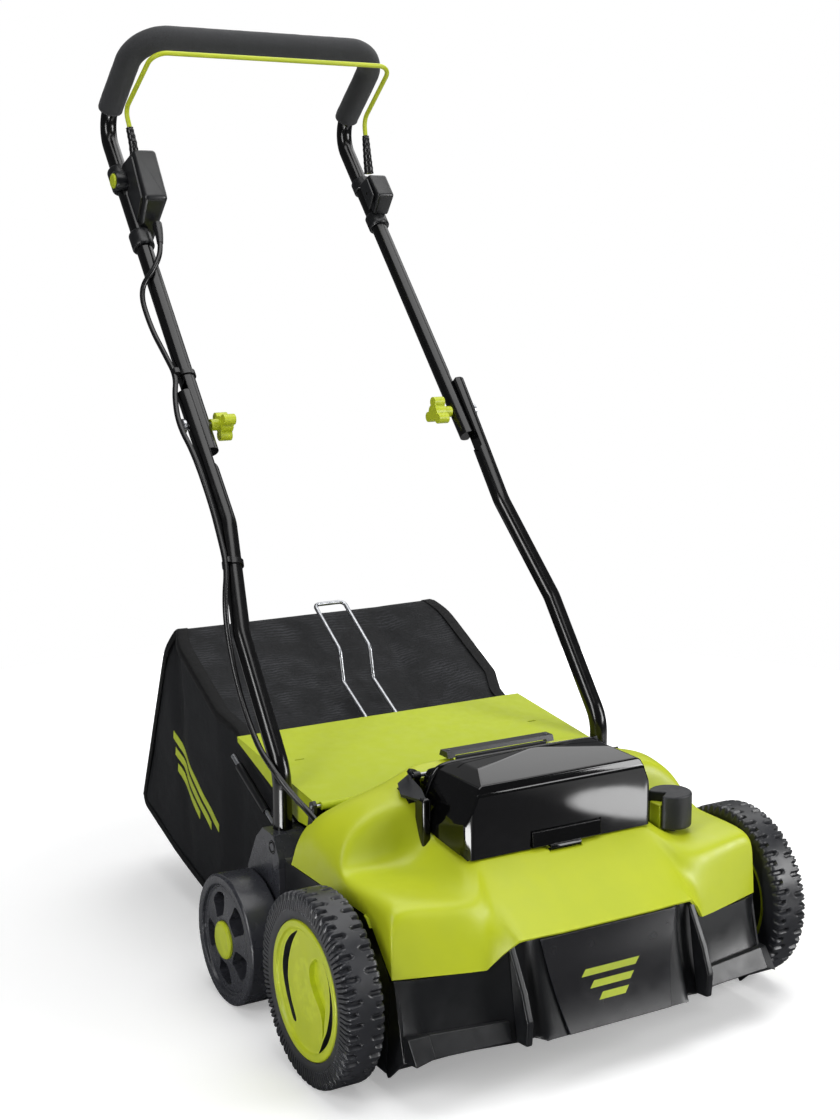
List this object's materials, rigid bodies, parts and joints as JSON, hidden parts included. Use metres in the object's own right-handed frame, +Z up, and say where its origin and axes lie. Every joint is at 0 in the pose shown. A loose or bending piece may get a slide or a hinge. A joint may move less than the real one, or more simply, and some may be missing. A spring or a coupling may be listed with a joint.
{
  "type": "lawn dethatcher",
  "caption": "Push lawn dethatcher with spring-tine rotor, folding U handle, battery bay under a glossy hatch, wheels and a fabric rear catcher.",
  "frame": {"origin": "on the ground, below the middle of the machine's bounding box", "axes": "+Z up; the front of the machine faces -Y and the operator stands at +Y; +X is to the right seen from the front"},
  "size_m": [0.599, 0.9732, 1.1494],
  "materials": {
    "lime_plastic": "satin lime moulding",
    "lime_wire": "lime coated steel wire",
    "lime_sheet": "lime flap, satin",
    "black_plastic": "satin black moulding",
    "grey_plastic": "dark grey moulding",
    "gloss_black": "polished black",
    "black_tube": "gloss black powder coat",
    "foam": "soft foam sleeve",
    "tyre_rubber": "black tyre",
    "cable_rubber": "smooth black cable sheath",
    "bag_fabric": "black woven mesh",
    "bright_wire": "zinc plated wire",
    "steel": "plain steel",
    "alloy": "cast alloy"
  },
  "bodies": {
    "root": {"lower_housing": "black_plastic", "front_apron": "black_plastic", "apron_panel": "black_plastic", "top_cover": "lime_plastic", "battery_bezel": "gloss_black", "battery_tray": "black_plastic", "battery_packs": "grey_plastic", "carry_bar": "grey_plastic", "motor_can": "alloy", "drive_belt": "cable_rubber", "belt_cover": "black_plastic", "controller_box": "black_plastic", "rotor_bearings": "steel", "rear_bracket_left": "black_plastic", "rear_bracket_right": "black_plastic", "rear_axle": "steel", "lower_handle_left": "black_tube", "lower_handle_right": "black_tube", "handle_bolts": "steel", "cable": "cable_rubber", "cable_clip_lower": "black_plastic", "hatch_pin": "steel", "flap_rod": "steel", "flap_springs": "steel", "housing_screws": "black_plastic"},
    "upper_handle": {"upper_handle": "black_tube", "grip_foam": "foam", "switch_housing": "black_plastic", "switch_cover": "grey_plastic", "pivot_housing": "black_plastic", "pivot_cover": "grey_plastic", "cable_gland": "black_plastic", "cable_clip_upper": "black_plastic"},
    "bail": {"bail_bar": "lime_wire", "bail_boots": "cable_rubber"},
    "start_button": {"start_button": "lime_plastic"},
    "star_knob_left": {"star_knob_left": "lime_plastic"},
    "star_knob_right": {"star_knob_right": "lime_plastic"},
    "hatch": {"battery_hatch": "gloss_black"},
    "latch": {"hatch_latch": "gloss_black"},
    "flap": {"rear_flap": "lime_sheet"},
    "depth_knob": {"depth_knob": "grey_plastic", "depth_knob_insert": "lime_plastic"},
    "front_axle": {"front_axle": "steel"},
    "front_wheel_left": {"front_tyre_left": "tyre_rubber", "front_disc_left": "lime_plastic"},
    "front_wheel_right": {"front_tyre_right": "tyre_rubber", "front_disc_right": "lime_plastic"},
    "rear_wheel_left": {"rear_wheel_left": "black_plastic", "rear_cap_left": "lime_plastic"},
    "rear_wheel_right": {"rear_wheel_right": "black_plastic", "rear_cap_right": "lime_plastic"},
    "rotor": {"rotor_shaft": "steel", "rotor_tines": "steel", "rotor_pulley": "alloy"},
    "motor_rotor": {"motor_shaft": "steel"},
    "catcher": {"catcher_frame": "black_tube", "catcher_clips": "black_plastic", "catcher_handle": "bright_wire", "catcher_bag": "bag_fabric"}
  },
  "joints": [
    {"name": "handle_fold", "type": "hinge", "parent": "root", "child": "upper_handle", "pos_m": [0, 0.15886, 0.6398], "axis": [1, 0, 0], "range_deg": [0, 130], "deforming": ["cable"]},
    {"name": "star_knob_left_turn", "type": "hinge", "parent": "root", "child": "star_knob_left", "pos_m": [-0.17, 0.15886, 0.6398], "axis": [-1, 0, 0], "range_deg": [0, 720]},
    {"name": "star_knob_right_turn", "type": "hinge", "parent": "root", "child": "star_knob_right", "pos_m": [0.17, 0.15886, 0.6398], "axis": [1, 0, 0], "range_deg": [0, 720]},
    {"name": "bail_squeeze", "type": "hinge", "parent": "upper_handle", "child": "bail", "pos_m": [0, 0.38736, 0.968], "axis": [-1, 0, 0], "range_deg": [0, 11], "stiffness_Nm_per_rad": 3, "springref_deg": -5.73},
    {"name": "start_button_press", "type": "slide", "parent": "upper_handle", "child": "start_button", "axis": [1, 0, 0], "range_m": [0, 0.002], "stiffness_N_per_m": 500, "springref_m": -0.0005},
    {"name": "hatch_open", "type": "hinge", "parent": "root", "child": "hatch", "pos_m": [0, -0.25964, 0.285], "axis": [-1, 0, 0], "range_deg": [0, 80]},
    {"name": "latch_flex", "type": "hinge", "parent": "hatch", "child": "latch", "pos_m": [0, -0.37164, 0.2375], "axis": [-1, 0, 0], "range_deg": [0, 12], "stiffness_Nm_per_rad": 0.5, "springref_deg": -2.86},
    {"name": "flap_lift", "type": "hinge", "parent": "root", "child": "flap", "pos_m": [0, -0.18564, 0.243], "axis": [1, 0, 0], "range_deg": [0, 70], "stiffness_Nm_per_rad": 0.3, "springref_deg": -34.38},
    {"name": "front_axle_crank", "type": "hinge", "parent": "root", "child": "front_axle", "pos_m": [0, -0.31264, 0.112], "axis": [1, 0, 0], "range_deg": [-50, 0]},
    {"name": "depth_knob_turn", "type": "hinge", "parent": "root", "child": "depth_knob", "pos_m": [0.16, -0.35564, 0.2075], "axis": [0, 0, 1], "range_deg": [0, 200]},
    {"name": "front_wheel_left_spin", "type": "hinge", "parent": "front_axle", "child": "front_wheel_left", "pos_m": [-0.278, -0.33464, 0.1025], "axis": [1, 0, 0], "continuous": true},
    {"name": "front_wheel_right_spin", "type": "hinge", "parent": "front_axle", "child": "front_wheel_right", "pos_m": [0.278, -0.33464, 0.1025], "axis": [1, 0, 0], "continuous": true},
    {"name": "rear_wheel_left_spin", "type": "hinge", "parent": "root", "child": "rear_wheel_left", "pos_m": [-0.268, -0.10984, 0.076], "axis": [1, 0, 0], "continuous": true},
    {"name": "rear_wheel_right_spin", "type": "hinge", "parent": "root", "child": "rear_wheel_right", "pos_m": [0.268, -0.10984, 0.076], "axis": [1, 0, 0], "continuous": true},
    {"name": "rotor_spin", "type": "hinge", "parent": "root", "child": "rotor", "pos_m": [0, -0.21664, 0.082], "axis": [1, 0, 0], "continuous": true},
    {"name": "motor_spin", "type": "hinge", "parent": "root", "child": "motor_rotor", "pos_m": [0, -0.35964, 0.118], "axis": [1, 0, 0], "continuous": true},
    {"name": "catcher_pull", "type": "slide", "parent": "root", "child": "catcher", "axis": [0, 1, 0], "range_m": [0, 0.3]}
  ],
  "couplings": [
    {"joint": "motor_spin", "follows": "rotor_spin", "ratio": 2.2857},
    {"joint": "depth_knob_turn", "follows": "front_axle_crank", "ratio": -4}
  ]
}
